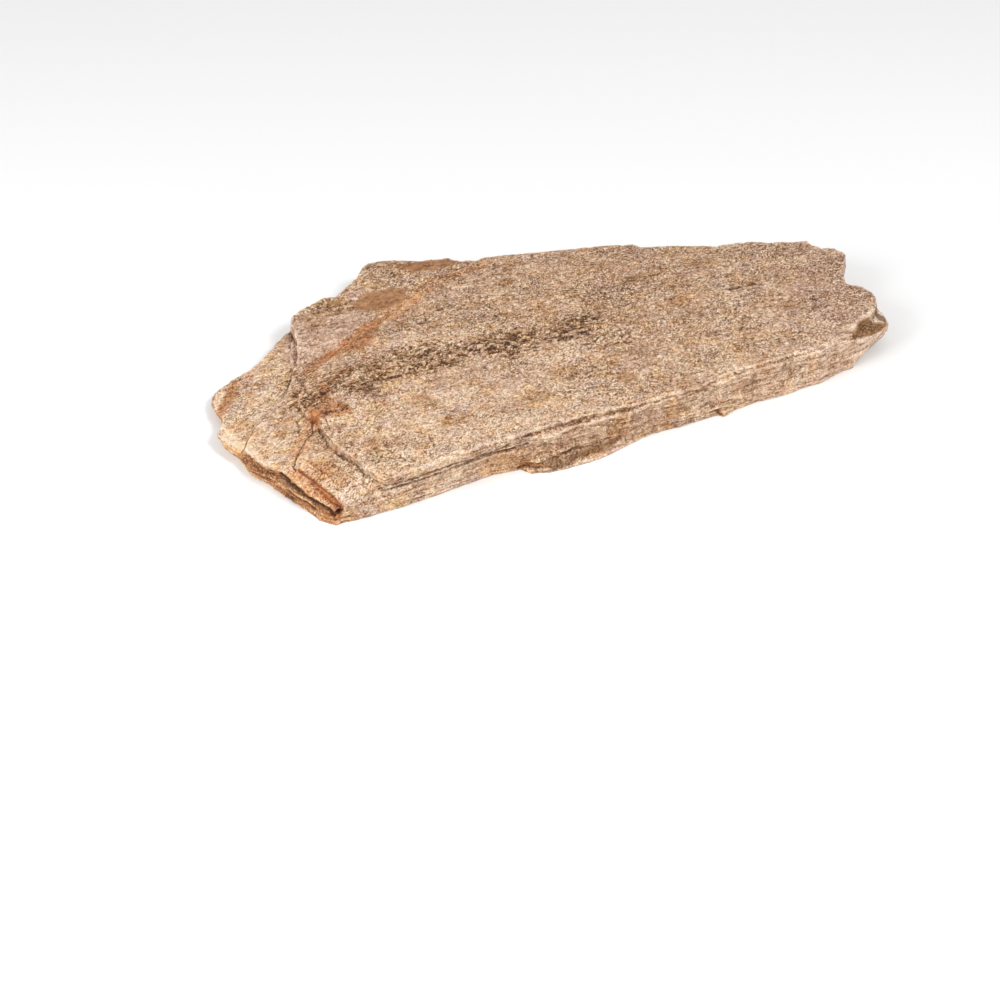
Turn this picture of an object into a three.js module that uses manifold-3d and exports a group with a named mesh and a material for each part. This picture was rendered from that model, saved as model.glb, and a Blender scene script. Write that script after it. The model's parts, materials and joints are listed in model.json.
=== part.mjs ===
// A quartzite flagstone: one slab of split stone, whose broken edge and stepped top show the cleft
// sheets that it is made of. Millimetres, +Z up. The slab lies on its flat underside, and the origin
// is the middle of its footprint, on the surface that it rests on.
import * as THREE from 'three';
import { TessellateModifier } from 'three/addons/modifiers/TessellateModifier.js';
import { ImprovedNoise } from 'three/addons/math/ImprovedNoise.js';
import { mergeVertices } from 'three/addons/utils/BufferGeometryUtils.js';
import Module from 'manifold-3d';

const wasm = await Module();
wasm.setup();

// Driving dimensions: the slab's own box.
const slabLength = 470;
const slabDepth = 348;
const slabThickness = 27.6;

// The long facets are split to this length, and then every face wanders a little from flat.
const facetEdge = 30;
const splittingRounds = 24;
const liftOfTop = 0.5;
const wanderOfEdge = 0.9;
const waveOfTop = 46;
const waveOfEdge = 23;
const waveOfHeight = 9;

// Where in the noise each wander is read, so that no two of them go together.
const noiseOfX = [0, 11];
const noiseOfY = [31, 23];
const noiseOfLift = 5;

// Below the seat the stone keeps its height, so that it rests flat. The lift is whole above the other.
const seatHeight = 1.2;
const fullLiftHeight = 8;

// Points closer together than the weld are one point. The slivers that the joins leave are finer than
// the grain of the stone, and go.
const weld = 1e-3;
const grain = 0.1;

// The front face, from beside the prow at the left to the ledge at the right-hand tip.
const faceEdge = [
  [-124, -166], [-102, -155], [-71, -134], [-45, -116], [-26, -109], [-4, -103], [10, -93],
  [30, -82], [46, -76], [61, -64], [81, -55], [98, -44], [116, -34], [136, -21], [152, -14],
  [167, -4], [181, 4], [197, 20],
];

// The front of the right-hand tip, round to the start of the right-hand fracture.
const tipEdge = [[209, 27], [218, 37], [226, 46], [232, 54], [234, 59], [231, 69]];

// The front edge of the top plate, which is broken off a little behind the face.
const browEdge = [
  [-112, -160], [-102, -154], [-77, -138], [-52, -121], [-20, -103], [13, -84], [40, -71],
  [63, -60], [80, -53], [94, -44], [115, -27], [137, -14], [165, 1], [187, 14], [203, 27],
];

// The right-hand fracture, from behind the tip to the far right corner: two bites and a shoulder.
const rightEdge = [
  [227, 80], [225, 89], [219, 98], [209, 103], [208, 120], [214, 146], [206, 158], [197, 158],
  [189, 164], [187, 170],
];

// The far fracture, from the far right corner to the notch where the top plate starts.
const farEdge = [
  [169, 169], [157, 168], [150, 171], [135, 171], [120, 165], [94, 165], [65, 165], [59, 169],
  [35, 165], [9, 160], [-24, 152], [-39, 150], [-54, 146],
];

// The far left fracture, round the upper plate and down to its left-hand corner.
const shoulderEdge = [
  [-68, 144], [-79, 149], [-98, 145], [-112, 147], [-127, 146], [-136, 143], [-140, 137],
  [-143, 119], [-150, 105], [-157, 90], [-164, 90], [-180, 73], [-187, 62],
];

// The left fracture, down the side of the terrace as far as the nub.
const terraceEdge = [[-191, 53], [-196, 42], [-201, 26], [-206, 14], [-217, -2], [-224, -9]];

// Moves a run of edge points inwards by a set-back. Walking anticlockwise, inwards is to the left.
function setBack(run, distance) {
  return run.map(([x, y], index) => {
    const before = run[Math.max(index - 1, 0)];
    const after = run[Math.min(index + 1, run.length - 1)];
    const along = new THREE.Vector2(after[0] - before[0], after[1] - before[1]).normalize();
    return [x - along.y * distance, y + along.x * distance];
  });
}

// The height of a cleft face over any point: one number for a level face, or three points, each
// [x, y, z], that a tilted face goes through.
function heightOf(face) {
  if (typeof face === 'number') return () => face;
  const plane = new THREE.Plane().setFromCoplanarPoints(...face.map((p) => new THREE.Vector3(...p)));
  return (x, y) => -(plane.constant + plane.normal.x * x + plane.normal.y * y) / plane.normal.z;
}

// One cleft sheet between a foot and a crown face. The rim is its top outline, walked anticlockwise.
// A rim point's third number, or else the sheet's batter, is how far the foot stands out beyond the
// rim there: below nothing, the side is undercut.
function sheet({ foot, crown, batter = 0, rim }) {
  const count = rim.length;
  const outline = rim.map(([x, y]) => new THREE.Vector2(x, y));
  const crownHeight = heightOf(crown);
  const footHeight = heightOf(foot);
  const positions = [];
  outline.forEach(({ x, y }) => positions.push(x, y, crownHeight(x, y)));
  outline.forEach(({ x, y }, index) => {
    const before = outline[(index + count - 1) % count];
    const after = outline[(index + 1) % count];
    const along = after.clone().sub(before).normalize();
    const spread = rim[index][2] ?? batter;
    positions.push(x + along.y * spread, y - along.x * spread, footHeight(x, y));
  });
  const triangles = [];
  THREE.ShapeUtils.triangulateShape(outline, []).forEach(([a, b, c]) => {
    triangles.push(a, b, c);
    triangles.push(a + count, c + count, b + count);
  });
  for (let index = 0; index < count; index += 1) {
    const next = (index + 1) % count;
    triangles.push(index, index + count, next + count);
    triangles.push(index, next + count, next);
  }
  return new wasm.Manifold(new wasm.Mesh({
    numProp: 3,
    vertProperties: new Float32Array(positions),
    triVerts: new Uint32Array(triangles),
  }));
}

// The sheets that go right across the slab, from the bedding face up. The lowest is drawn in under
// the left-hand tip, and the underside has split away under the right-hand one.
function wholeSheets() {
  const base = sheet({
    foot: 0,
    crown: 6.5,
    rim: [
      [-142, -174, 1], ...faceEdge, ...tipEdge.slice(0, 4), [226, 66], ...setBack(rightEdge, 6),
      ...setBack(farEdge, 1.5), ...setBack(shoulderEdge, 2),
      [-193, 45, -2], [-206, 12, -5], [-222, -12, -9], [-229, -40, -14], [-225, -60, -15],
      [-225, -80, -16], [-206, -104, -8], [-194, -120, 0], [-175, -141, 2], [-151, -168, 2],
    ],
  });
  const lower = sheet({
    foot: 5.5,
    crown: 10.5,
    batter: 1,
    rim: [
      [-139, -172, 2], ...setBack(faceEdge, 1), ...setBack(tipEdge.slice(0, 4), 0.5), [228, 68],
      ...setBack(rightEdge, 3), ...setBack(farEdge, 4), ...setBack(shoulderEdge, 0.5),
      ...setBack(terraceEdge, 1), [-223, -40], [-221, -60], [-223, -81], [-204, -104],
      [-191, -121, 2], [-173, -139, 3], [-150, -165, 3],
    ],
  });
  const middle = sheet({
    foot: 8,
    crown: 15,
    batter: 0.6,
    rim: [
      [-137, -172, 2], ...setBack(faceEdge, 1.5), ...setBack(tipEdge, 1),
      ...setBack(rightEdge, 5), ...setBack(farEdge, 2.5), ...setBack(shoulderEdge, 1.5),
      [-185, 20], [-178, -20], [-176, -80], [-166, -125], [-150, -155],
    ],
  });
  const ledge = sheet({
    foot: 13,
    crown: [[-150, 0, 19.8], [200, 0, 26.3], [200, 100, 26.3]],
    batter: 0.5,
    rim: [
      [-137, -172], ...setBack(faceEdge.slice(0, 4), 5).map(([x, y]) => [x, y, 3.5]),
      ...setBack(faceEdge.slice(4), 2), [205, 32], [211, 46], [218, 58],
      ...setBack(rightEdge, 1.5), ...setBack(farEdge, 1), [-90, 110], [-140, 20], [-152, -30],
      [-157, -78], [-160, -94], [-163, -108], [-170, -128], [-167, -136], [-153, -155],
      [-144, -167],
    ],
  });
  const prowBreak = sheet({
    foot: [[-160, -146, 19], [-139, -173, 13.5], [-106, -156, 20.5]],
    crown: 40,
    rim: [[-172, -150], [-140, -190], [-90, -158], [-104, -148], [-150, -140]],
  });
  const tipBreak = sheet({
    foot: -5,
    crown: [[206, 27, 0], [226, 47, 15], [222, 78, 0]],
    rim: [[206, 27], [212, 10], [250, 30], [250, 80], [222, 79]],
  });
  return [base, lower, middle, ledge.subtract(prowBreak)].map((bed) => bed.subtract(tipBreak));
}

// The two terraces at the left, and the bright strip that slopes down beside the prow.
function terraces() {
  const terrace = sheet({
    foot: 8,
    crown: [[-185, 0, 13.5], [-225, 0, 10.3], [-185, -50, 13.7]],
    batter: 0.8,
    rim: [
      [-205, -104, 0], [-160, -120], [-150, 0], [-160, 60], [-186, 60], ...terraceEdge,
      [-219, -14], [-220, -28], [-222, -42], [-225, -58], [-223, -67], [-226, -82, 0],
    ],
  });
  const frontTerrace = sheet({
    foot: 10.5,
    crown: [[-170, 0, 17.4], [-204, 0, 14], [-170, -100, 17.4]],
    batter: 0.6,
    rim: [
      [-205, -105, -1], [-194, -123, -3], [-187, -131, -3], [-178, -137, -3], [-171, -146, -3],
      [-158, -138], [-156, -100], [-160, -20], [-170, 8], [-180, 4], [-181, -17], [-186, -46],
      [-200, -69], [-203, -84],
    ],
  });
  const strip = sheet({
    foot: 8,
    crown: [[-172, -146, 16], [-145, -174, 9.5], [-139, -171, 12]],
    batter: -2,
    rim: [[-172, -146], [-158, -161], [-145, -174], [-139, -171], [-146, -150], [-164, -132]],
  });
  const nub = sheet({
    foot: 4.5,
    crown: [[-219, -13, 11], [-235, -32, 7.5], [-225, -58, 9.5]],
    batter: -5,
    rim: [
      [-226, -60], [-221, -50], [-218, -28], [-218, -12], [-224, -9], [-230, -15], [-234, -22],
      [-235, -33], [-232, -45],
    ],
  });
  return [terrace, frontTerrace, strip, nub];
}

// The upper plate and the top plate. Their near corners have split away down to the terrace.
function plates() {
  const upperPlate = sheet({
    foot: 13,
    crown: [[-186, 59, 22.5], [-120, 40, 22.9], [-60, 140, 24.3]],
    batter: 0.8,
    rim: [
      [-180, -14], [-168, -18], [-130, 0], [-60, 120], [-50, 145], ...shoulderEdge, [-186, 50],
      [-182, 36], [-178, 12],
    ],
  });
  const upperBreak = sheet({
    foot: [[-182, 38, 23], [-135, 32, 22.6], [-178, -10, 16]],
    crown: 40,
    rim: [[-195, -30], [-140, -30], [-120, 34], [-150, 36], [-181, 40], [-195, 36]],
  });
  const topPlate = sheet({
    foot: 18,
    crown: [[-150, 0, 25.4], [200, 0, 27.5], [200, 100, 27.5]],
    batter: 1.2,
    rim: [
      ...browEdge, [206, 32], [212, 46], [219, 54], [225, 68], ...rightEdge, ...farEdge,
      [-71, 127], [-85, 111], [-97, 94], [-107, 78], [-114, 62], [-125, 42], [-140, 22],
      [-151, 14], [-160, 3], [-171, -14], [-176, -40], [-168, -66], [-156, -84], [-155, -97],
      [-148, -113], [-139, -126], [-126, -143], [-118, -155],
    ],
  });
  const topBreak = sheet({
    foot: [[-124, 24, 25.5], [-144, -62, 25.4], [-173, -24, 17.6]],
    crown: 40,
    rim: [[-154, -84], [-120, 40], [-140, 50], [-200, 0], [-200, -60]],
  });
  return [upperPlate.subtract(upperBreak), topPlate.subtract(topBreak)];
}

// The top of the right-hand tip, and what is left standing at the foot of the front face: a
// blade of stone and a tooth.
function ledges() {
  const tip = sheet({
    foot: 9,
    crown: [[209, 28, 22], [234, 58, 18.6], [216, 52, 23]],
    batter: -1,
    rim: [[195, 20], ...tipEdge, [224, 80], [203, 50]],
  });
  const blade = sheet({
    foot: 0,
    crown: 1.8,
    batter: 0.4,
    rim: [
      [-26, -110], [-19, -114], [-6, -112], [10, -105], [26, -95], [42, -82], [52, -72],
      [30, -70], [0, -90],
    ],
  });
  const bladeSlope = sheet({
    foot: 1,
    crown: 6.5,
    batter: 4,
    rim: [[-22, -109, 3], [0, -102, 8], [20, -89, 7], [42, -78], [46, -72], [20, -80], [0, -90]],
  });
  const tooth = sheet({
    foot: 0,
    crown: 4,
    rim: [[104, -38], [110, -42], [118, -33], [108, -30]],
  });
  return [tip, blade, bladeSlope, tooth];
}

function asGeometry(manifold) {
  const mesh = manifold.getMesh();
  const positions = new Float32Array(mesh.numVert * 3);
  for (let vertex = 0; vertex < mesh.numVert; vertex += 1) {
    for (let axis = 0; axis < 3; axis += 1) {
      positions[vertex * 3 + axis] = mesh.vertProperties[vertex * mesh.numProp + axis];
    }
  }
  const geometry = new THREE.BufferGeometry();
  geometry.setAttribute('position', new THREE.BufferAttribute(positions, 3));
  geometry.setIndex(new THREE.BufferAttribute(new Uint32Array(mesh.triVerts), 1));
  return geometry;
}

// Splits the long facets, then lets every face wander from flat, as a cleft face does.
function weather(geometry) {
  const noise = new ImprovedNoise();
  const split = new TessellateModifier(facetEdge, splittingRounds).modify(geometry);
  split.deleteAttribute('normal');
  const merged = mergeVertices(split, weld);
  const position = merged.getAttribute('position');
  for (let index = 0; index < position.count; index += 1) {
    const [x, y, z] = [position.getX(index), position.getY(index), position.getZ(index)];
    const [u, v, w] = [x / waveOfEdge, y / waveOfEdge, z / waveOfHeight];
    const lift = liftOfTop * THREE.MathUtils.smoothstep(z, seatHeight, fullLiftHeight);
    position.setXYZ(
      index,
      x + wanderOfEdge * noise.noise(u + noiseOfX[0], v, w + noiseOfX[1]),
      y + wanderOfEdge * noise.noise(u + noiseOfY[0], v, w + noiseOfY[1]),
      z + lift * noise.noise(x / waveOfTop, y / waveOfTop, noiseOfLift),
    );
  }
  return merged;
}

// Brings the stone to its driving dimensions, centred over the origin and standing on z = 0.
function fitToSlab(geometry) {
  geometry.computeBoundingBox();
  const size = geometry.boundingBox.getSize(new THREE.Vector3());
  const middle = geometry.boundingBox.getCenter(new THREE.Vector3());
  geometry.translate(-middle.x, -middle.y, -geometry.boundingBox.min.z);
  geometry.scale(slabLength / size.x, slabDepth / size.y, slabThickness / size.z);
  return geometry;
}

// Joined sheets can shut a pocket between them. The largest skin alone is the slab without pockets.
const joined = wasm.Manifold.union([...wholeSheets(), ...terraces(), ...plates(), ...ledges()]);
const [stone] = joined.decompose().sort((a, b) => b.volume() - a.volume());
const stoneGeometry = fitToSlab(weather(asGeometry(stone.simplify(grain))));
stoneGeometry.computeVertexNormals();

const quartzite = new THREE.MeshStandardMaterial({ color: 0xb69678, roughness: 0.82, metalness: 0 });
const flagstone = new THREE.Mesh(stoneGeometry, quartzite);
flagstone.name = 'flagstone';

const part = new THREE.Group();
part.add(flagstone);

export default part;
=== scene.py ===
# The looks of a quartzite flagstone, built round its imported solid. The scene is in metres, and the
# layers, cracks, stains and grain of the stone are given in millimetres.
import json
import math

import bpy
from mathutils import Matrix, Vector

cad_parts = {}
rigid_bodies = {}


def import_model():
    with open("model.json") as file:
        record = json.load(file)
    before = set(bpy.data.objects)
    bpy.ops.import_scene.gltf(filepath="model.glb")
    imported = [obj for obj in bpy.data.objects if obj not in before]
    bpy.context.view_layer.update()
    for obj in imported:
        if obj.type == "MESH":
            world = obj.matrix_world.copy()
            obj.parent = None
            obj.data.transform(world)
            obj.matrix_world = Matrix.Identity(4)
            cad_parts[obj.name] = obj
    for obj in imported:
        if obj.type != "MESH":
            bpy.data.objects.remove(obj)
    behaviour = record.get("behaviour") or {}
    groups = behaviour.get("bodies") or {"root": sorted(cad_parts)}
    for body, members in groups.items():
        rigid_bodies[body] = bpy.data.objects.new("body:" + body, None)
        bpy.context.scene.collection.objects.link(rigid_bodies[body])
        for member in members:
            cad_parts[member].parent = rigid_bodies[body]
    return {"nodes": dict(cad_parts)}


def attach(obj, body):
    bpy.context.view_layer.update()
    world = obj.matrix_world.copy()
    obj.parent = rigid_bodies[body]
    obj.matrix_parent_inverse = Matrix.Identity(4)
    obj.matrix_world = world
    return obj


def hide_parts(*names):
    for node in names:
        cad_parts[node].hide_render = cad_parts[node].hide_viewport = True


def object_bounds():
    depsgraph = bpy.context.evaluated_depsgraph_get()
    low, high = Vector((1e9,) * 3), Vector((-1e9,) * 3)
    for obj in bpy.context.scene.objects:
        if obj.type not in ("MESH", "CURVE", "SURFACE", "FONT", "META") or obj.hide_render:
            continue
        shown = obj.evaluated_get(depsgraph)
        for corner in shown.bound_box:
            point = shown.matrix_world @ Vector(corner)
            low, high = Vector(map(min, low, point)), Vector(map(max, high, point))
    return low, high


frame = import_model()
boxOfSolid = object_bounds()
low, high = boxOfSolid
size = high - low
millimetre = 0.001
print("frame loaded", [round(side / millimetre, 1) for side in size])


# A socket that can be reckoned with: sums on it add Math nodes, and node() adds any other node.
class Wire:
    def __init__(self, tree, socket=None):
        self.tree = tree
        self.socket = socket

    def node(self, kind, settings=None, values=None, output=0):
        made = self.tree.nodes.new(kind)
        for name, value in (settings or {}).items():
            if name == "stops":
                fillRamp(made.color_ramp, value)
            else:
                setattr(made, name, value)
        for name, value in (values or {}).items():
            if isinstance(value, Wire):
                self.tree.links.new(value.socket, made.inputs[name])
            else:
                made.inputs[name].default_value = value
        return Wire(self.tree, made.outputs[output])

    def maths(self, operation, first, second=0.0):
        return self.node("ShaderNodeMath", {"operation": operation}, {0: first, 1: second})

    def __add__(self, other):
        return self.maths("ADD", self, other)

    def __sub__(self, other):
        return self.maths("SUBTRACT", self, other)

    def __rsub__(self, other):
        return self.maths("SUBTRACT", other, self)

    def __mul__(self, other):
        return self.maths("MULTIPLY", self, other)

    def __truediv__(self, other):
        return self.maths("DIVIDE", self, other)

    def __abs__(self):
        return self.maths("ABSOLUTE", self)

    __radd__ = __add__
    __rmul__ = __mul__

    def atLeast(self, other):
        return self.maths("MAXIMUM", self, other)

    def atMost(self, other):
        return self.maths("MINIMUM", self, other)

    # 0 at the first value and 1 at the second, with a soft step between
    def ramp(self, start, end):
        settings = {"interpolation_type": "SMOOTHSTEP"}
        return self.node("ShaderNodeMapRange", settings, {0: self, 1: start, 2: end})

    def vector(self, operation, other, output=0):
        return self.node("ShaderNodeVectorMath", {"operation": operation}, {0: self, 1: other}, output)

    def scaled(self, x, y, z):
        return self.vector("MULTIPLY", (x, y, z))

    def shifted(self, other):
        return self.vector("ADD", other)

    def inMillimetres(self):
        return self.scaled(1 / millimetre, 1 / millimetre, 1 / millimetre)

    # the same point in a frame that no face of the stone is square to
    def tilted(self):
        values = {"Vector": self, "Rotation": (0.6, 0.9, 0.4)}
        return self.node("ShaderNodeVectorRotate", {"rotation_type": "EULER_XYZ"}, values)

    def turned(self, degrees):
        values = {"Vector": self, "Angle": math.radians(degrees)}
        return self.node("ShaderNodeVectorRotate", {"rotation_type": "Z_AXIS"}, values)

    # another output of the node that this one comes from
    def output(self, name):
        return Wire(self.tree, self.socket.node.outputs[name])

    def parts(self):
        split = self.node("ShaderNodeSeparateXYZ", None, {0: self})
        return [split.output(axis) for axis in range(3)]

    def joined(self, x, y, z):
        return self.node("ShaderNodeCombineXYZ", None, {0: x, 1: y, 2: z})

    # the mean of a vector over the skin around each point
    def blurred(self, times):
        values = {"Value": self, "Iterations": times}
        return self.node("GeometryNodeBlurAttribute", {"data_type": "FLOAT_VECTOR"}, values)

    # smooth noise from 0 to 1, with lumps of about this many millimetres
    def noise(self, lump, detail=2.0, roughness=0.5, output="Fac"):
        values = {"Vector": self, "Scale": 1 / lump, "Detail": detail, "Roughness": roughness}
        return self.node("ShaderNodeTexNoise", None, values, output)

    # a number from 0 to 1 for each grain
    def grains(self, across):
        values = {"Vector": self, "Scale": 1 / across}
        return self.node("ShaderNodeTexVoronoi", None, values, "Color").parts()[0]

    def mixed(self, factor, other, blend="MIX"):
        settings = {"data_type": "RGBA", "blend_type": blend}
        return self.node("ShaderNodeMix", settings, {0: factor, 6: self, 7: other}, 2)

    def tinted(self, amount, wash):
        return self.mixed(amount * wash["strength"], tint(*wash["tint"]), "MULTIPLY")

    def coloured(self, stops):
        return self.node("ShaderNodeValToRGB", {"stops": stops}, {0: self}, "Color")


def fillRamp(ramp, stops):
    while len(ramp.elements) < len(stops):
        ramp.elements.new(1)
    for element, (position, colour) in zip(ramp.elements, stops):
        element.position = position
        element.color = colour


# a colour as it looks, red green blue from 0 to 255, as the light that a shader works with
def tint(red, green, blue):
    light = [((value / 255 + 0.055) / 1.055) ** 2.4 for value in (red, green, blue)]
    return (*light, 1)


grainDirection = 23    # degrees from +X, the way the cleft steps and dark bands run
lineation = 60         # and the way the single grains lie


# an oval spot, long the way the grain runs
def spot(x, y, length, width):
    along = math.radians(grainDirection)
    outline = []
    for step in range(12):
        turn = math.tau * step / 12
        ahead = length / 2 * math.cos(turn)
        across = width / 2 * math.sin(turn)
        outline.append((x + ahead * math.cos(along) - across * math.sin(along),
                        y + ahead * math.sin(along) + across * math.cos(along)))
    return outline


# Cracks and dark joints, drawn on the cleft top in plan, or on a wall as length along it and height.
# A wall's turn is its direction in plan, in degrees from +X.
boards = {
    "top": {        # the cracks round the terraces
        "runs": [
            [(-158, -84), (-154, -98), (-146, -113), (-143, -120), (-135, -130), (-130, -137),
             (-117, -155)],
            [(-163, -73), (-161, -90), (-165, -97), (-167, -107), (-169, -118), (-170, -130)],
            [(-171, -131), (-165, -140), (-159, -145), (-152, -153), (-145, -161), (-139, -170)],
            [(-200, -76), (-203, -88), (-205, -103)],
        ],
        "strength": 0.85,
        "width": 0.42,
    },
    "hair": {       # fine cracks on the top
        "runs": [
            [(-185, 49), (-185, 36), (-184, 23), (-181, 14), (-178, 0)],
            [(-179, -8), (-182, -13), (-183, -36), (-184, -42), (-193, -57), (-200, -76)],
            [(-172, -20), (-170, -34), (-171, -52), (-165, -66), (-160, -78)],
            [(-166, -60), (-172, -74), (-170, -90)],
            [(-61, 142), (-82, 118), (-100, 93), (-112, 66)],
            [(-147, 24), (-160, 0), (-172, -18)],
            [(-152, -60), (-154, -78), (-149, -96)],
        ],
        "strength": 0.45,
        "width": 0.5,
    },
    "front": {      # the joint under the uppermost sheet
        "turn": 31,
        "runs": [
            [(-182, 22), (-172, 20.6), (-160, 19.6), (-145, 19.9), (-130, 19.8), (-108, 19), (-92, 19.7),
             (-86, 21)],
            [(-106, 18.3), (-88, 18.1), (-72, 18.8)],
        ],
        "strength": 0.75,
        "width": 0.42,
    },
    "seams": {      # fainter joints on the front
        "turn": 31,
        "runs": [
            [(-74, 23.6), (-57, 24), (-41, 23.7)],
            [(-24, 23.3), (-4, 23.2), (10, 23.8), (32, 24.4), (56, 24.6), (72, 25.2)],
            [(40, 21.5), (54, 22.5), (66, 22.2)],
            [(123, 21.2), (136, 21.7), (152, 21.5)],
            [(-80, 1.8), (-72, 3.4), (-63, 5.5), (-54, 6.6), (-45, 7), (-33, 6.4), (-20, 6), (-5, 6)],
        ],
        "strength": 0.45,
        "width": 0.4,
    },
    "bevel": {      # the joints of the splintered break
        "turn": -46,
        "runs": [
            [(-36, 13), (-28, 11), (-14, 12), (0, 9.5), (12, 9), (24, 6)],
            [(-20, 6), (-6, 4.5), (8, 5)],
        ],
        "strength": 0.7,
        "width": 0.6,
    },
}

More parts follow.
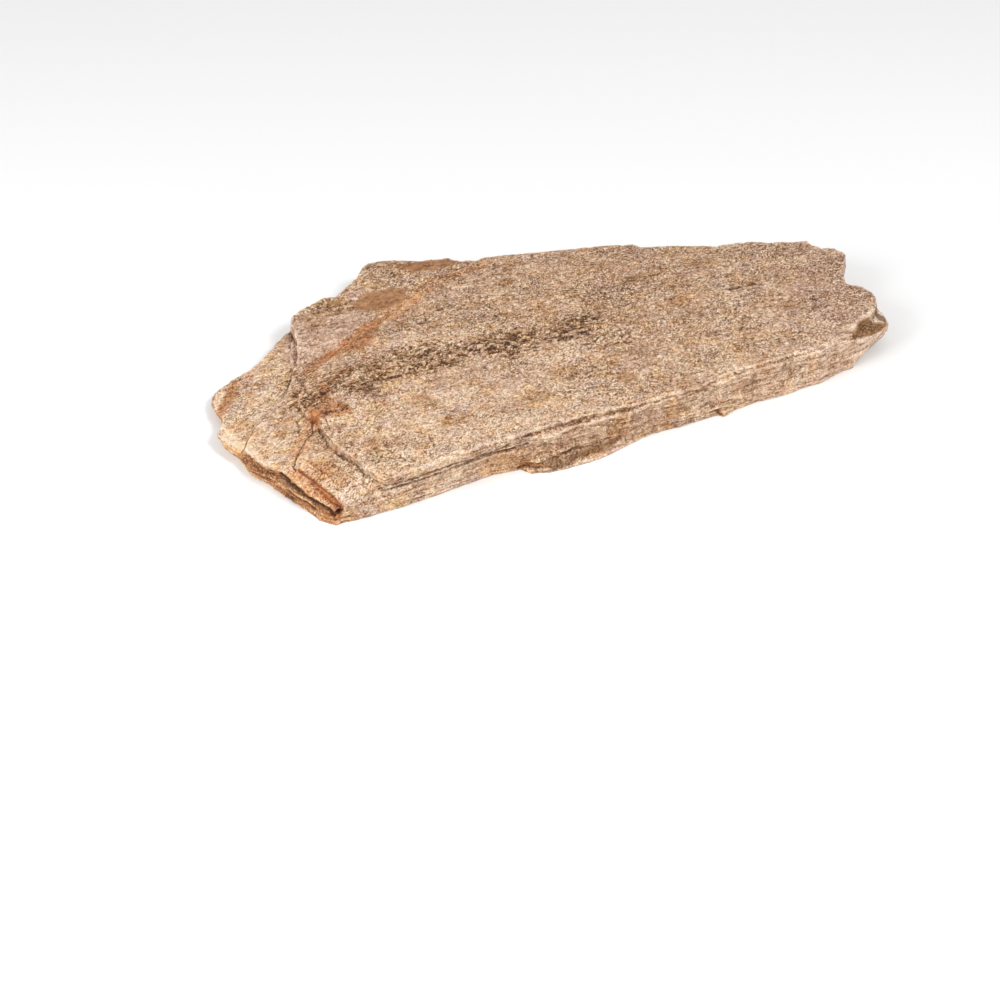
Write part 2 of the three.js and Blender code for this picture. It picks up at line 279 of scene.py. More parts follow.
# Stains, drawn in plan or on a board. Reach is how far each fades past its outline, and sway how
# far the outline wanders, which is 9 where none is given.
stains = {
    "rust": {       # rust beside the cracks
        "reach": 3.5,
        "sway": 6,
        "shapes": [
            [(-153, 19), (-146, 29), (-141, 36), (-135, 48), (-128, 57), (-120, 60), (-124, 47),
             (-128, 35), (-130, 19), (-134, 14), (-141, 12), (-149, 16)],
            [(-172, -4), (-163, 8), (-154, 17), (-151, 14), (-162, 1), (-171, -12)],
            [(-222, -8), (-219, -10), (-218, -24), (-221, -38), (-224, -55), (-230, -55), (-226, -40),
             (-224, -26)],
            [(-158, -33), (-155, -33), (-152, -56), (-157, -58), (-159, -45)],
            [(-163, -64), (-151, -61), (-141, -66), (-138, -75), (-149, -79), (-162, -76)],
        ],
    },
    "amber": {      # a warmer border along the terraces
        "reach": 6,
        "shapes": [
            [(-121, 62), (-110, 78), (-100, 95), (-88, 118), (-70, 127), (-50, 143), (-44, 138),
             (-64, 122), (-80, 112), (-92, 92), (-103, 72), (-113, 54)],
            [(-160, -132), (-152, -126), (-144, -134), (-134, -148), (-140, -154), (-152, -142)],
            [(-173, -136), (-168, -138), (-158, -150), (-147, -163), (-140, -174), (-147, -172),
             (-160, -155)],
            [(-164, -74), (-159, -78), (-160, -92), (-166, -110), (-167, -126), (-171, -126),
             (-169, -104)],
        ],
    },
    "slot": {       # the rusted crack by the near corner
        "reach": 0.8,
        "sway": 1.5,
        "shapes": [
            [(-170, -132), (-165, -139), (-158, -145), (-151, -153), (-144, -161), (-137, -170),
             (-140, -172), (-147, -164), (-154, -155), (-160, -146), (-166, -140)],
        ],
    },
    "recess": {     # the hollow in the splintered break, sunk in and painted darker as shade
        "board": "bevel",
        "reach": 1,
        "sway": 1.5,
        "shapes": [
            [(-36, 14), (-28, 13), (-14, 14), (0, 12), (14, 11), (26, 10), (24, 5), (12, 6.5), (0, 7),
             (-14, 9.5), (-28, 10)],
        ],
    },
    "iron": {       # the brown rim above that break
        "reach": 1.5,
        "sway": 3,
        "shapes": [
            [(-188, -128), (-176, -139), (-169, -147), (-163, -154), (-157, -160), (-148, -170),
             (-160, -178), (-178, -156), (-192, -138)],
        ],
    },
    "smooth": {     # two smooth brown patches
        "reach": 2.5,
        "sway": 5,
        "shapes": [
            [(-142, 80), (-136, 95), (-125, 100), (-117, 104), (-109, 103), (-107, 92), (-111, 81),
             (-124, 74), (-137, 73)],
            [(-115, 141), (-96, 143), (-80, 147), (-71, 144), (-80, 136), (-96, 130), (-110, 133)],
        ],
    },
    "dusk": {       # the dark band that runs with the grain
        "reach": 9,
        "shapes": [
            spot(-136, -28, 56, 20),
            spot(-90, -2, 56, 34),
            spot(-34, 18, 40, 30),
            spot(-168, -46, 18, 22),
            spot(16, 44, 36, 14),
            spot(38, 22, 26, 12),
        ],
    },
    "murk": {       # the darkest parts of the band
        "reach": 5,
        "shapes": [
            spot(-136, -42, 20, 8),
            spot(-112, -25, 28, 9),
            spot(-84, -11, 36, 11),
            spot(-38, 12, 32, 13),
            spot(-26, 26, 26, 8),
            spot(8, 30, 34, 12),
            spot(-164, -45, 15, 10),
            spot(-90, 4, 18, 8),
            spot(-60, 12, 20, 6),
            spot(-148, -72, 14, 4),
            spot(20, 52, 16, 4),
        ],
    },
    "calm": {       # the even stretch between the cracks
        "reach": 7,
        "shapes": [
            [(-188, 58), (-167, 66), (-148, 69), (-131, 67), (-140, 46), (-152, 28), (-162, 9),
             (-172, -6), (-180, 8), (-187, 30)],
        ],
    },
    "ochre": {      # spots of ochre
        "reach": 5,
        "shapes": [
            spot(-118, -116, 11, 19),
            spot(-107, -114, 8, 8),
            spot(-68, -86, 17, 9),
            spot(-88, -63, 10, 12),
            spot(5, -24, 17, 14),
            spot(46, -31, 9, 13),
            spot(-35, 106, 8, 10),
            [(-178, 60), (-163, 73), (-158, 82), (-148, 84), (-143, 76), (-150, 70), (-162, 60),
             (-170, 45)],
            spot(60, 112, 20, 9),
            spot(110, 138, 15, 7),
            spot(88, 78, 13, 9),
            spot(165, 71, 9, 6),
            spot(90, 98, 9, 6),
            spot(-13, -55, 16, 12),
        ],
    },
    "pits": {       # small holes
        "reach": 1.2,
        "sway": 2,
        "shapes": [
            spot(128, 97, 13, 2),
            spot(142, 104, 6, 3),
            spot(-93, 48, 9, 2),
            spot(-82, 66, 7, 2),
            spot(72, 119, 8, 1.5),
            spot(184, 80, 4, 3),
            spot(20, 15, 7, 2),
            [(225, 70), (227, 63), (233, 60), (232, 67)],
        ],
    },
    "crystals": {   # flakes of mica, painted white as glints
        "reach": 0.8,
        "sway": 2,
        "shapes": [
            spot(-151, 83, 3, 2),
            spot(-147, 77, 5, 2),
            spot(-142, 88, 3, 2),
        ],
    },
    "pale": {       # paler stretches; the one at the near left is partly painted light, as from a lamp nearer the front
        "reach": 22,
        "shapes": [
            [(-150, -90), (-118, -152), (-40, -112), (30, -76), (0, -45), (-80, -55), (-140, -70)],
            [(-205, -104), (-192, -88), (-172, -112), (-173, -138), (-187, -130)],
            [(165, -8), (200, 20), (222, 42), (232, 52), (212, 26), (185, 2)],
            spot(-94, 27, 40, 12),
            spot(3, 0, 30, 34),
            spot(122, -14, 56, 12),
        ],
    },
    "shade": {      # duller stretches
        "reach": 20,
        "shapes": [
            spot(62, 112, 56, 26),
            spot(43, 76, 24, 18),
            spot(-24, -72, 50, 6),
        ],
    },
    "blush": {      # the lighter terrace at the far left
        "reach": 12,
        "shapes": [
            [(-228, -62), (-222, -14), (-196, 40), (-188, 40), (-188, -20), (-194, -60), (-205, -102),
             (-222, -92)],
        ],
    },
    "cream": {      # pale broken rims: fresh stone, with a painted highlight on their edges
        "reach": 3,
        "sway": 5,
        "shapes": [
            [(-238, -50), (-236, -24), (-226, -9), (-228, -26), (-229, -40), (-233, -60)],
            [(-224, -85), (-205, -106), (-188, -133), (-183, -130), (-200, -103), (-218, -76)],
            [(204, 34), (206, 44), (212, 52), (219, 58), (227, 70), (230, 74), (233, 64), (233, 60),
             (222, 56), (212, 48), (207, 40)],
        ],
    },
    "olive": {      # the sunken corner of the tip
        "reach": 1.2,
        "sway": 1.5,
        "shapes": [
            [(205, 29), (209, 40), (214, 49), (224, 56), (233, 59), (233, 55), (228, 47), (218, 38)],
        ],
    },
    "lip": {        # the ledge at the foot of the front
        "board": "front",
        "reach": 0.7,
        "sway": 1.5,
        "shapes": [
            [(-79, 1.6), (-72, 3.2), (-63, 5.3), (-54, 6.4), (-45, 6.8), (-33, 6.2), (-20, 5.6),
             (-5, 5.8), (-14, 3), (-33, 2.4), (-50, 2.2), (-66, 1)],
        ],
    },
}


# shapes drawn flat on z = 0, as a mesh of faces, or of edges where they stay open
def drawGuide(name, shapes, closed):
    guide = bpy.data.meshes.new(name)
    points = []
    edges = []
    faces = []
    for shape in shapes:
        start = len(points)
        points += [(x, y, 0) for x, y in shape]
        if closed:
            faces.append(range(start, len(points)))
        else:
            edges += [(index, index + 1) for index in range(start, len(points) - 1)]
    guide.from_pydata(points, edges, faces)
    thing = bpy.data.objects.new(name, guide)
    bpy.context.scene.collection.objects.link(thing)
    return thing


# the point of a guide that is nearest to a point; its "Distance" output tells how far
def nearestOn(guide, point, target):
    info = point.node("GeometryNodeObjectInfo", None, {"Object": guide}, "Geometry")
    return point.node("GeometryNodeProximity", {"target_element": target}, {0: info, 2: point}, "Position")


# The sheets that the stone splits into, as they show at its broken edge.
layers = {
    "thickness": 1.9,
    "sway": 3,
    "swayLength": 60,
    "lean": 0.008,
    "setBack": 1.3,
    "setBackLength": 22,
    "jointDepth": 0.9,
    "jointLength": 13,
}

edge = {
    "biteDepth": 1.3,
    "biteSize": 13,
    "chipDepth": 0.6,
    "chipSize": 4,
    "grooveDepth": 1.2,
    "fullness": 1.2,    # how far the broken edge is built out before it is cut back
}

# The splintered break on the left.
bevel = {
    "flakeSize": 4.5,
    "flakeDepth": 1.5,
    "top": (18, 14),            # the splinters begin between these heights
    "recessDepth": 2.2,
    "farStart": (-36, -60),     # the far end of it swells out between these lengths along it
    "farEnd": (-97, -86),
    "farSwell": 6,              # how far it swells at the foot
    "swellSlope": 0.3,          # and how much less for each millimetre up
}

# The thin end on the right.
tip = {
    "start": (200, 235),
    "foot": (15, 3),
    "undercut": 7,
}

cleft = {
    "stepHeight": 0.45,
    "stepLength": 90,
    "stepCount": 9,
    "stepsAbove": 3,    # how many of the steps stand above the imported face
    "sunk": 0.4,        # how far the whole face lies below its highest grains
    "bumps": 1.0,
    "bumpSize": 9,
    "ridges": 1.3,
    "ridgeSize": 4.5,
    "grit": 1.6,
    "gritSize": 2.4,
    "crackDepth": 1.1,
    "pitDepth": 0.9,
}

skin = {
    "weld": 0.00001,
    "voxel": 0.0007,
    "rounding": 2,
    "evenness": 6,
    "ridgeReach": 9,
    "triangles": 192000,
}


def deselect():
    for thing in bpy.context.selected_objects:
        thing.select_set(False)


def choose(thing):
    deselect()
    thing.select_set(True)
    bpy.context.view_layer.objects.active = thing


def applyModifiers(thing):
    choose(thing)
    for modifier in list(thing.modifiers):
        bpy.ops.object.modifier_apply(modifier=modifier.name)


# the layers of the stone at a point: a number for each layer, and how far the nearest joint is
def layering(point):
    x, y, z = point.parts()
    sway = point.scaled(1, 1, 0.3).noise(layers["swayLength"]) * layers["sway"]
    height = (z + sway + x * layers["lean"]) / layers["thickness"]
    values = {"W": height, "Scale": 1}
    number = height.node("ShaderNodeTexVoronoi", {"voronoi_dimensions": "1D"}, values, "Color").parts()[0]
    settings = {"voronoi_dimensions": "1D", "feature": "DISTANCE_TO_EDGE"}
    return number, height.node("ShaderNodeTexVoronoi", settings, values, "Distance")


def newShapeTree(name):
    tree = bpy.data.node_groups.new(name, "GeometryNodeTree")
    tree.interface.new_socket("Geometry", in_out="INPUT", socket_type="NodeSocketGeometry")
    tree.interface.new_socket("Geometry", in_out="OUTPUT", socket_type="NodeSocketGeometry")
    return tree


def closeShapeTree(tree, geometry):
    end = tree.nodes.new("NodeGroupOutput")
    tree.links.new(geometry.socket, end.inputs[0])


def storeNumber(geometry, name, value):
    return geometry.node("GeometryNodeStoreNamedAttribute", None, {0: geometry, "Name": name, "Value": value})


# a point moved about, so that what is measured from it gets a ragged border
def ragged(point, amount, lump=7):
    sway = point.noise(lump, 3, 0.6, "Color").shifted((-0.5, -0.5, -0.5)).scaled(amount, amount, amount)
    return point.shifted(sway)


# a point as it lies on a board: its plan, or its length along the wall and its height
def onBoard(point, board):
    if "turn" not in board:
        return point.scaled(1, 1, 0)
    turned = point.turned(-board["turn"]).parts()
    return point.joined(turned[0], turned[2], 0)


# how much a slope faces a board, from 0 to 1
def facing(slope, board):
    x, y, z = slope.parts()
    if "turn" not in board:
        return z.ramp(0.0, 0.4)
    turn = math.radians(board["turn"])
    return (x * math.sin(turn) - y * math.cos(turn)).ramp(0.3, 0.65)


# 1 in a stain's outline, and less up to its reach
def cover(guides, name, point, reach):
    return nearestOn(guides[name], point, "FACES").output("Distance").ramp(reach, 0)


# a place in metres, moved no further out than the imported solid's box
def keptInBox(place):
    return place.vector("MAXIMUM", low).vector("MINIMUM", high)


def breakAndCleave(guides):
    tree = newShapeTree("break and cleave")
    pen = Wire(tree)
    stone = pen.node("NodeGroupInput")
    place = pen.node("GeometryNodeInputPosition")
    point = place.inMillimetres()
    slope = pen.node("GeometryNodeInputNormal").blurred(skin["evenness"])
    slopeX, slopeY, slopeZ = slope.parts()
    x, y, z = point.parts()
    up = slopeZ.ramp(0.4, 0.8)
    down = slopeZ.ramp(-0.4, -0.8)
    side = 1 - up - down

    # the broken edge: layers that stand back by different amounts, joints between them, bites and chips
    number, joint = layering(point)
    alongLayer = point.joined(x, y, number * 400)
    standBack = alongLayer.noise(layers["setBackLength"], 1) * layers["setBack"]
    openStretch = alongLayer.noise(layers["jointLength"], 1).ramp(0.44, 0.62)
    openJoint = joint.ramp(0.4, 0.0) * openStretch * side * layers["jointDepth"]
    bites = point.scaled(1, 1, 0.4).noise(edge["biteSize"], 3, 0.55).ramp(0.42, 0.68) * edge["biteDepth"]
    chips = point.scaled(1, 1, 0.7).noise(edge["chipSize"], 2, 0.5) * edge["chipDepth"]
    inwards = standBack + openJoint + bites + chips

    # the bevel is splintered instead: long flakes, each flat, that stand at different depths
    bevelFacing = facing(slope, boards["bevel"])
    bevelFace = bevelFacing * z.ramp(*bevel["top"])
    along = point.turned(-boards["bevel"]["turn"])
    stretched = along.scaled(0.22, 0.3, 1)
    values = {"Vector": stretched, "Scale": 1 / bevel["flakeSize"]}
    flake = stretched.node("ShaderNodeTexVoronoi", None, values, "Distance")
    flakeDepth = flake.output("Color").parts()[0] + flake * 0.8
    flakes = flakeDepth * bevelFace * bevel["flakeDepth"]
    inwards = inwards * (1 - bevelFace * 0.6) + flakes - edge["fullness"]
    run = along.parts()[0]
    swell = run.ramp(*bevel["farStart"]) * run.ramp(*bevel["farEnd"])
    swell = swell * (bevel["farSwell"] - z * bevel["swellSlope"]).atLeast(0.0)
    recess = cover(guides, "recess", onBoard(ragged(point, 1.5), boards["bevel"]), 1.2)
    inwards = inwards + (recess * bevel["recessDepth"] - swell) * bevelFacing

    # the tip thins out underneath
    inwards = inwards + x.ramp(*tip["start"]) * z.ramp(*tip["foot"]) * tip["undercut"]

    # the cleft faces: thin steps that follow the grain, ridges, bumps and grit
    grainwise = point.turned(-grainDirection).scaled(1, 2.4, 1)
    stepNumber = grainwise.noise(cleft["stepLength"], 3, 0.55) * cleft["stepCount"]
    whole = stepNumber.maths("FLOOR", stepNumber)
    steps = (whole + (stepNumber - whole).ramp(0.88, 1.0) - cleft["stepsAbove"]) * cleft["stepHeight"]
    flat = ragged(point, 3).scaled(1, 1, 0)
    smooth = cover(guides, "smooth", flat, 3)
    dusk = cover(guides, "dusk", flat, 12)
    pit = cover(guides, "pits", flat, 1.2)
    rough = (1 + dusk * 0.9) * (1 - smooth * 0.85)
    ridges = (grainwise.scaled(0.75, 0.8, 1).noise(cleft["ridgeSize"], 2, 0.6) - 0.5) * cleft["ridges"]
    grit = (point.tilted().noise(cleft["gritSize"], 1, 0.5) - 0.5) * cleft["grit"]
    bumps = (grainwise.noise(cleft["bumpSize"], 2, 0.5) - 0.5) * cleft["bumps"] + ridges + grit
    drop = bumps * rough + steps + pit * cleft["pitDepth"] + cleft["sunk"]

    # the cracks: how far to the nearest one, less than nothing on one side of it, and whether it is near;
    # those in the top deepen the drop, and those in a wall stand further in
    shaped = stone
    frontFacing = facing(slope, boards["front"])
    for name, board in boards.items():
        spread = onBoard(ragged(point, 2, 9), board)
        nearest = nearestOn(guides[name], spread, "EDGES")
        distance = nearest.output("Distance")
        across = (0, 1, 0) if "turn" in board else (1, 0.3, 0)
        past = spread.vector("SUBTRACT", nearest).vector("DOT_PRODUCT", across, "Value")
        faces = facing(slope, board)
        groove = distance.ramp(board["width"] * 1.8, 0.2) * board["strength"]
        if "turn" in board:
            inwards = inwards + groove * faces * edge["grooveDepth"]
        else:
            drop = drop + groove * up * cleft["crackDepth"]
        shaped = storeNumber(shaped, name + "Line", distance * past.maths("SIGN", past))
        shaped = storeNumber(shaped, name + "Near", distance.ramp(3.5, 1.5) * faces)

    # a lift for the underside, which stays on the ground at its lowest, and a drop for the rest
    rise = (bumps * 0.5 + 0.3 + steps.atLeast(0.0) * 0.3) * down
    fall = drop * z.ramp(1, 9) * (1 - down)
    moveX = slopeX * inwards * -millimetre
    moveY = slopeY * inwards * -millimetre
    move = point.joined(moveX, moveY, (rise - fall) * millimetre).blurred(1)
    for name, value in (("side", side), ("bevelFacing", bevelFacing), ("frontFacing", frontFacing)):
        shaped = storeNumber(shaped, name, value)
    values = {0: shaped, "Position": keptInBox(place.shifted(move))}
    shaped = shaped.node("GeometryNodeSetPosition", None, values)

    # how far a point stands out of the skin around it, and less than nothing in a hollow
    normal = pen.node("GeometryNodeInputNormal")
    proud = place.vector("SUBTRACT", place.blurred(skin["ridgeReach"])).vector("DOT_PRODUCT", normal, "Value")
    shaped = storeNumber(shaped, "ridge", proud * (1 / millimetre))
    closeShapeTree(tree, shaped)
    return tree


# each stain as a number from 0 to 1 on the mesh, with a ragged border
def layStains(guides):
    tree = newShapeTree("lay stains")
    pen = Wire(tree)
    stone = pen.node("NodeGroupInput")
    place = pen.node("GeometryNodeInputPosition")
    point = place.inMillimetres()
    stone = stone.node("GeometryNodeSetPosition", None, {0: stone, "Position": keptInBox(place)})
    for name, stain in stains.items():
        board = boards[stain["board"]] if "board" in stain else {}
        spread = onBoard(ragged(point, stain.get("sway", 9)), board)
        stone = storeNumber(stone, name, cover(guides, name, spread, stain["reach"]))
    closeShapeTree(tree, stone)
    return tree


def addShape(thing, tree):
    modifier = thing.modifiers.new(tree.name, "NODES")
    modifier.node_group = tree
    applyModifiers(thing)


# the voxels leave a few closed specks inside thin joints: only what hangs together with the tip stays
def dropSpecks(thing):
    choose(thing)
    bpy.ops.object.mode_set(mode="EDIT")
    bpy.ops.mesh.select_all(action="DESELECT")
    bpy.ops.object.mode_set(mode="OBJECT")
    farthest = max(thing.data.vertices, key=lambda vertex: vertex.co.x)
    farthest.select = True
    bpy.ops.object.mode_set(mode="EDIT")
    bpy.ops.mesh.select_linked()
    bpy.ops.mesh.select_all(action="INVERT")
    bpy.ops.mesh.delete(type="VERT")
    bpy.ops.object.mode_set(mode="OBJECT")


def buildStone():
    stone = bpy.data.objects.new("cleftSlab", frame["nodes"]["flagstone"].data.copy())
    bpy.context.scene.collection.objects.link(stone)
    stone.data.materials.clear()
    choose(stone)
    bpy.ops.object.mode_set(mode="EDIT")
    bpy.ops.mesh.select_all(action="SELECT")
    bpy.ops.mesh.remove_doubles(threshold=skin["weld"])
    bpy.ops.object.mode_set(mode="OBJECT")

    remesh = stone.modifiers.new("even skin", "REMESH")
    remesh.mode = "VOXEL"
    remesh.voxel_size = skin["voxel"]
    rounding = stone.modifiers.new("worn edges", "SMOOTH")
    rounding.iterations = skin["rounding"]
    applyModifiers(stone)
    dropSpecks(stone)
    print("skin", len(stone.data.polygons), "faces")

    guides = {}
    for name, board in boards.items():
        guides[name] = drawGuide(name, board["runs"], False)
    for name, stain in stains.items():
        guides[name] = drawGuide(name, stain["shapes"], True)
    addShape(stone, breakAndCleave(guides))
    print("broken and cleft")

    thin = stone.modifiers.new("fewer faces", "DECIMATE")
    thin.ratio = skin["triangles"] / (2 * len(stone.data.polygons))
    applyModifiers(stone)
    addShape(stone, layStains(guides))
    for guide in guides.values():
        bpy.data.objects.remove(guide)
    choose(stone)
    bpy.ops.object.shade_smooth()
    print("stone", len(stone.data.polygons), "faces")
    return stone


# The tones run from dark mica to white quartz, with the plain stone in the middle. Contrast is how
# far each kind of grain, from the single ones to the broad blotches, moves the tone.
quartz = {
    "tones": [
        (0.0, tint(76, 47, 24)),
        (0.26, tint(140, 102, 68)),
        (0.5, tint(193, 158, 127)),
        (0.74, tint(229, 198, 168)),
        (1.0, tint(254, 233, 206)),
    ],
    "middle": 0.5,
    "single": {"size": 0.9, "contrast": 0.67},
    "pair": {"size": 1.8, "contrast": 0.28},
    "fine": {"size": 1.3, "contrast": 0.62},
    "clusters": {"size": 4.5, "contrast": 0.6},
    "blotches": {"size": 26, "contrast": 0.75},
    # sparkle paints glints of mica as light dots in the colour
    "sparkle": 0.3,
    "clumpSize": 5,
    "laminaSize": 1.4,
    "roughness": 0.86,
    "relief": 0.0008,
}

# How far each mark lightens the stone, or darkens it where less than nothing.
lightness = {
    "pale": 0.08,
    "blush": 0.1,
    "cream": 0.28,
    "crystals": 0.6,
    "calm": 0.04,
    "shade": -0.06,
    "dusk": -0.02,
    "duskPatch": -0.46,
}

# Iron and clay among the grains, as washes over the tone. Offset only keeps their patterns apart.
washes = {
    "golden": {"offset": 30, "size": 15, "spread": (0.48, 0.62), "strength": 0.5, "tint": (253, 231, 190)},
    "violet": {"offset": 70, "size": 18, "spread": (0.47, 0.6), "strength": 0.65, "tint": (242, 238, 252)},
    "orange": {"offset": 110, "size": 6, "spread": (0.56, 0.7), "strength": 0.4, "tint": (255, 218, 172)},
    "moss": {"offset": 150, "size": 9, "spread": (0.52, 0.66), "strength": 1, "tint": (238, 234, 200)},
    "rose": {"offset": 190, "size": 10, "spread": (0.52, 0.66), "strength": 1, "tint": (255, 232, 222)},
}

stainTints = {
    "ochre": {"strength": 0.8, "tint": (202, 172, 124)},
    "amber": {"strength": 0.65, "tint": (250, 212, 162)},
    "rust": {"strength": 0.85, "tint": (226, 182, 136)},
    "smooth": {"strength": 1, "tint": (222, 196, 168)},
    "olive": {"strength": 1, "tint": (188, 166, 130)},
    "lip": {"strength": 1, "tint": (176, 156, 130)},
    "duskPatch": {"strength": 0.85, "tint": (216, 194, 156)},
    "slot": {"strength": 0.9, "tint": (206, 154, 100)},
}

# Iron that has run along the joints of the left-hand break.
iron = {
    "tones": [
        (0.16, tint(60, 36, 20)),
        (0.34, tint(126, 76, 38)),
        (0.5, tint(172, 114, 66)),
        (0.66, tint(202, 150, 102)),
        (0.86, tint(246, 208, 166)),
    ],
    "middle": 0.53,
    "streakSize": 2.4,
    "streaks": 1.4,
    "driftSize": 30,
    "drift": 0.4,
    "farStart": (-35, -65),
}

# The dark lines where the sheets part, with the tones of their insides in plain and in rusted stone.
cracks = {
    "tones": [
        (0.0, tint(92, 58, 33)),
        (0.5, tint(134, 80, 42)),
    ],
    "pits": 0.7,
    "joints": 0.4,
    "wobble": 1.6,
    "wobbleSize": 2.5,
    "faintest": 0.45,
    "fadeLength": 16,
}


# noise about nothing, up and down by half the amount
def centred(wire, amount):
    return (wire - 0.5) * amount


def quartziteFinish():
    material = bpy.data.materials.new("quartzite")
    material.use_nodes = True
    tree = material.node_tree
    shader = tree.nodes["Principled BSDF"]
    shader.inputs["Roughness"].default_value = quartz["roughness"]
    pen = Wire(tree)
    point = pen.node("ShaderNodeTexCoord", None, None, "Object").inMillimetres()

    def marked(name):
        return pen.node("ShaderNodeAttribute", {"attribute_name": name}, None, "Fac")

    side = marked("side")
    smooth = marked("smooth")
    calm = marked("calm")
    dusk = marked("dusk")
    slot = marked("slot")
    ridge = marked("ridge")
    frontFace = marked("frontFacing")
    x, y, z = point.parts()
    bevelFace = marked("bevelFacing") * side * z.ramp(*bevel["top"])
    leftward = x.ramp(-60, -140)
    tipward = x.ramp(120, 210)

    # the grains lie one way, and the bands and blotches run another
    free = point.turned(-lineation).scaled(0.87, 1.15, 1.5).tilted()
    streaky = point.turned(-grainDirection).scaled(1, 1.3, 1).tilted()
    single = free.grains(quartz["single"]["size"])
    pair = free.shifted((9, 5, 2)).grains(quartz["pair"]["size"])
    fine = free.noise(quartz["fine"]["size"], 3, 0.85)
    clusters = free.noise(quartz["clusters"]["size"], 3, 0.7)
    clumps = free.shifted((50, 0, 0)).noise(quartz["clumpSize"], 4, 0.7)
    blotches = streaky.noise(quartz["blotches"]["size"], 5, 0.72)

    # how light each point is, from its grains and from how far it stands out: the ridge term paints shade and
    # some dirt into the hollows and a highlight onto the crests
    busy = (1 - smooth * 0.75) * (1 - calm * 0.3) * (1 - side * 0.3)
    busy = busy * (free.noise(45, 2).ramp(0.35, 0.65) * 0.4 + 0.7)
    speckle = centred(single, quartz["single"]["contrast"]) + centred(pair, quartz["pair"]["contrast"])
    speckle = speckle + centred(fine, quartz["fine"]["contrast"])
    # the sparkle term is painted glints of mica
    speckle = (speckle + single.ramp(0.9, 0.97) * quartz["sparkle"]) * busy
    lumps = centred(clusters, quartz["clusters"]["contrast"]) * (1 + leftward * 0.5)
    lumps = lumps + centred(blotches, quartz["blotches"]["contrast"]) * (1 + leftward * 0.2)
    streakiness = 0.65 + x.ramp(60, 120) * 0.5 + x.ramp(-30, -70) * 0.25
    laminae = centred(point.scaled(0.1, 0.1, 1).tilted().noise(quartz["laminaSize"], 3, 0.7), 1)
    laminae = laminae * side * streakiness
    tone = speckle + lumps + laminae + ridge.atMost(0.35) * 0.6 + quartz["middle"]

    # the darker and paler stretches; the front wall is painted darker as shade, most of all in its middle
    duskPatch = marked("murk").atLeast(dusk * 0.55) * clumps.ramp(0.45, 0.55)
    marks = {name: marked(name) for name in ("pale", "blush", "crystals", "shade")}
    marks.update(calm=calm, dusk=dusk, duskPatch=duskPatch, cream=marked("cream") * (1 - side))
    for name, mark in marks.items():
        tone = tone + mark * lightness[name]
    # the minus y term paints the near side lighter, as light that falls off towards the back
    tone = tone + side * tipward * 0.05 - y * 0.0003
    tone = tone - frontFace * side * (0.03 + x.ramp(-75, -40) * x.ramp(60, 25) * 0.08)
    colour = tone.coloured(quartz["tones"])

    # the washes, fainter towards the tip and on the smooth stretches
    def wash(name, base=streaky, detail=3):
        lumps = base.shifted((washes[name]["offset"], 0, 0)).noise(washes[name]["size"], detail, 0.6)
        return lumps.ramp(*washes[name]["spread"])

    rusting = (1 - smooth.atLeast(calm) * 0.85) * (1 - tipward * 0.6)
    weathered = rusting * (0.15 + leftward * 0.6)
    amounts = {
        "golden": wash("golden") * rusting,
        "violet": (wash("violet") + tipward * 0.5).atLeast(calm) * (1 - dusk),
        "orange": wash("orange", free, 2) * rusting,
        "moss": wash("moss") * weathered,
        "rose": wash("rose") * weathered,
    }
    for name, amount in amounts.items():
        colour = colour.tinted(amount, washes[name])

    # the stains, broken up by the grain
    amounts = {
        "ochre": marked("ochre") * clumps.ramp(0.34, 0.58),
        "amber": marked("amber") * clusters.ramp(0.25, 0.6),
        "rust": marked("rust") * clusters.ramp(0.25, 0.5),
        "smooth": smooth * clusters.ramp(0.1, 0.35),
        "olive": marked("olive") * (1 - frontFace * side * z.ramp(22, 20)) * clusters.ramp(0.1, 0.4),
        "lip": marked("lip") * frontFace,
        "duskPatch": duskPatch,
    }
    for name, amount in amounts.items():
        colour = colour.tinted(amount, stainTints[name])

    # the bevel, where iron has run along the joints
    along = point.turned(-boards["bevel"]["turn"])
    streaks = along.scaled(0.08, 0.3, 1).tilted().noise(iron["streakSize"], 4, 0.75)
    drift = along.scaled(1, 0.3, 0.3).noise(iron["driftSize"], 2)
    farEnd = along.parts()[0].ramp(*iron["farStart"])
    ironTone = centred(streaks, iron["streaks"]) * (1 - farEnd * 0.5) + centred(drift, iron["drift"])
    # on the bevel too, the ridge term paints a highlight on the crests and shade in the hollows
    ironTone = ironTone + speckle * 0.6 + ridge * 0.5 + farEnd * 0.02
    # darker towards the top of the bevel and in its hollow: painted shade under the rim
    ironTone = ironTone - z * 0.012 - marked("recess") * 0.22 + iron["middle"]
    ironed = bevelFace.atLeast(marked("iron")) * 0.95
    colour = colour.mixed(ironed, ironTone.coloured(iron["tones"]))
    colour = colour.tinted(slot, stainTints["slot"])

    # dark lines where the sheets part
    dark = marked("pits") * cracks["pits"]
    wobble = centred(point.noise(cracks["wobbleSize"], 2, 0.6), cracks["wobble"])
    fading = point.noise(cracks["fadeLength"], 2, 0.5).ramp(0.36, 0.56)
    fading = fading * (1 - cracks["faintest"]) + cracks["faintest"]
    for name, board in boards.items():
        across = abs(marked(name + "Line") + wobble)
        line = across.ramp(board["width"] * 1.3, board["width"] * 0.4) * marked(name + "Near")
        dark = dark.atLeast(line * fading * board["strength"])
    joint = layering(point)[1]
    openStretch = point.scaled(0.4, 0.4, 4).noise(9).ramp(0.5, 0.6)
    dark = dark.atLeast(joint.ramp(0.14, 0.03) * openStretch * side * cracks["joints"])
    colour = colour.mixed(dark, marked("rust").atLeast(slot).coloured(cracks["tones"]))
    tree.links.new(colour.socket, shader.inputs["Base Color"])

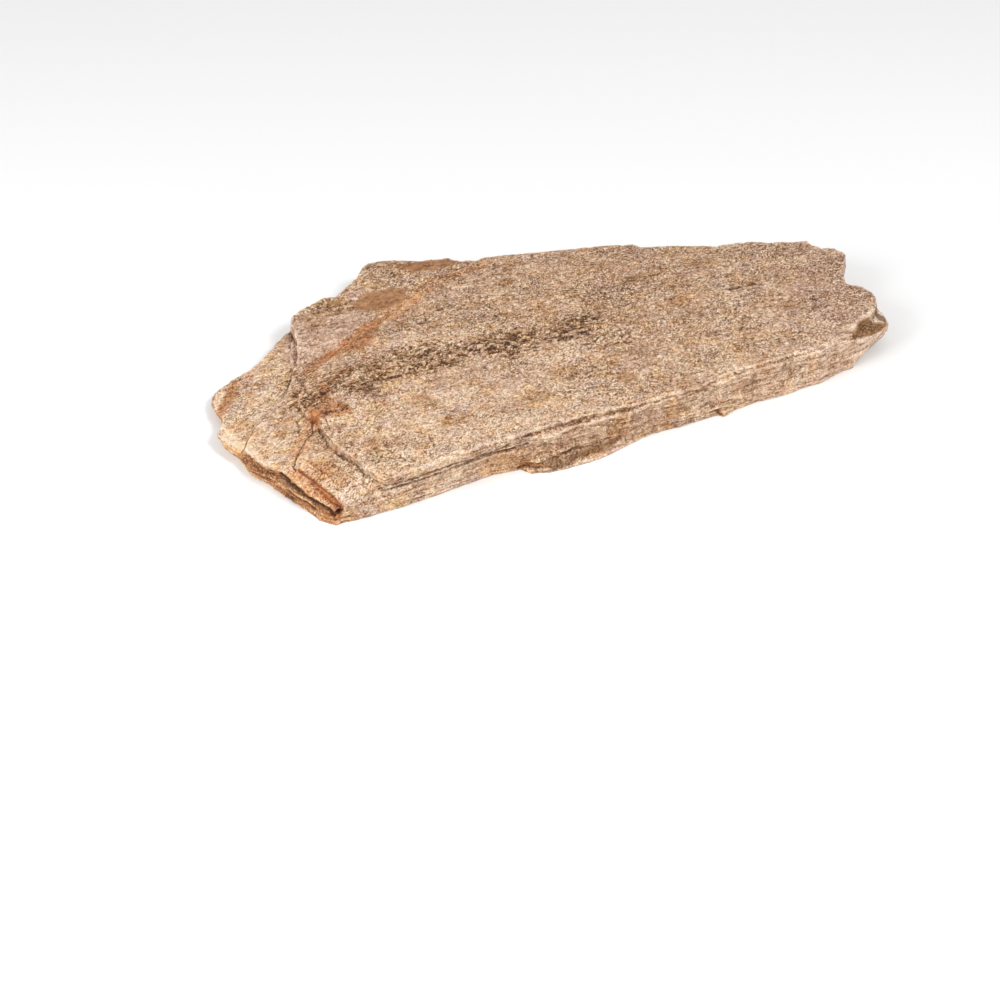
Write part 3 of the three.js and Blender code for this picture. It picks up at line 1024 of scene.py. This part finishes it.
    height = speckle + lumps * 0.4 + laminae * 0.8 - dark
    bump = pen.node("ShaderNodeBump", None, {"Height": height, "Distance": quartz["relief"], "Strength": 1})
    tree.links.new(bump.socket, shader.inputs["Normal"])
    return material


stage = {
    "floorSize": 8,
    "floorColour": (0.93, 0.93, 0.93, 1),
    "floorRoughness": 0.9,
    "sky": 0.64,
}

# The aim is a part of the stone's length and width, from its middle and from its near side.
camera = {
    "lens": 85,
    "sensor": 36,
    "distance": 1.5,
    "elevation": 32.5,
    "aimX": -0.083,
    "aimY": 0.086,
}

lamps = {
    "key": {"place": (1.0, -0.9, 1.5), "size": 0.5, "power": 18},
    "fill": {"place": (-1.4, -1.1, 0.9), "size": 1.0, "power": 22},
}


def buildCamera():
    eye = bpy.data.cameras.new("camera")
    eye.lens = camera["lens"]
    eye.sensor_width = camera["sensor"]
    thing = bpy.data.objects.new("camera", eye)
    bpy.context.scene.collection.objects.link(thing)
    elevation = math.radians(camera["elevation"])
    middle = (low.x + high.x) / 2
    aim = Vector((middle + camera["aimX"] * size.x, low.y + camera["aimY"] * size.y, 0))
    back = Vector((0, -math.cos(elevation), math.sin(elevation)))
    thing.location = aim + back * camera["distance"]
    thing.rotation_euler = (math.pi / 2 - elevation, 0, 0)
    bpy.context.scene.camera = thing


def buildLights():
    for name, lamp in lamps.items():
        light = bpy.data.lights.new(name, "AREA")
        light.energy = lamp["power"]
        light.size = lamp["size"]
        thing = bpy.data.objects.new(name, light)
        bpy.context.scene.collection.objects.link(thing)
        thing.location = lamp["place"]
        thing.rotation_euler = Vector(lamp["place"]).to_track_quat("Z", "Y").to_euler()
    world = bpy.data.worlds.new("studio")
    world.use_nodes = True
    sky = world.node_tree.nodes["Background"]
    sky.inputs["Color"].default_value = (1, 1, 1, 1)
    sky.inputs["Strength"].default_value = stage["sky"]
    bpy.context.scene.world = world


def buildFloor():
    deselect()
    bpy.ops.mesh.primitive_plane_add(size=stage["floorSize"])
    floor = bpy.context.object
    floor.name = "floor"
    paper = bpy.data.materials.new("pale paper")
    paper.use_nodes = True
    shader = paper.node_tree.nodes["Principled BSDF"]
    shader.inputs["Base Color"].default_value = stage["floorColour"]
    shader.inputs["Roughness"].default_value = stage["floorRoughness"]
    floor.data.materials.append(paper)


buildCamera()
buildLights()
buildFloor()
bpy.context.scene.view_settings.view_transform = "Standard"
print("camera, lamps and floor set")

stone = buildStone()
stone.data.materials.append(quartziteFinish())
print("finish laid")
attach(stone, "root")
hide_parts("flagstone")
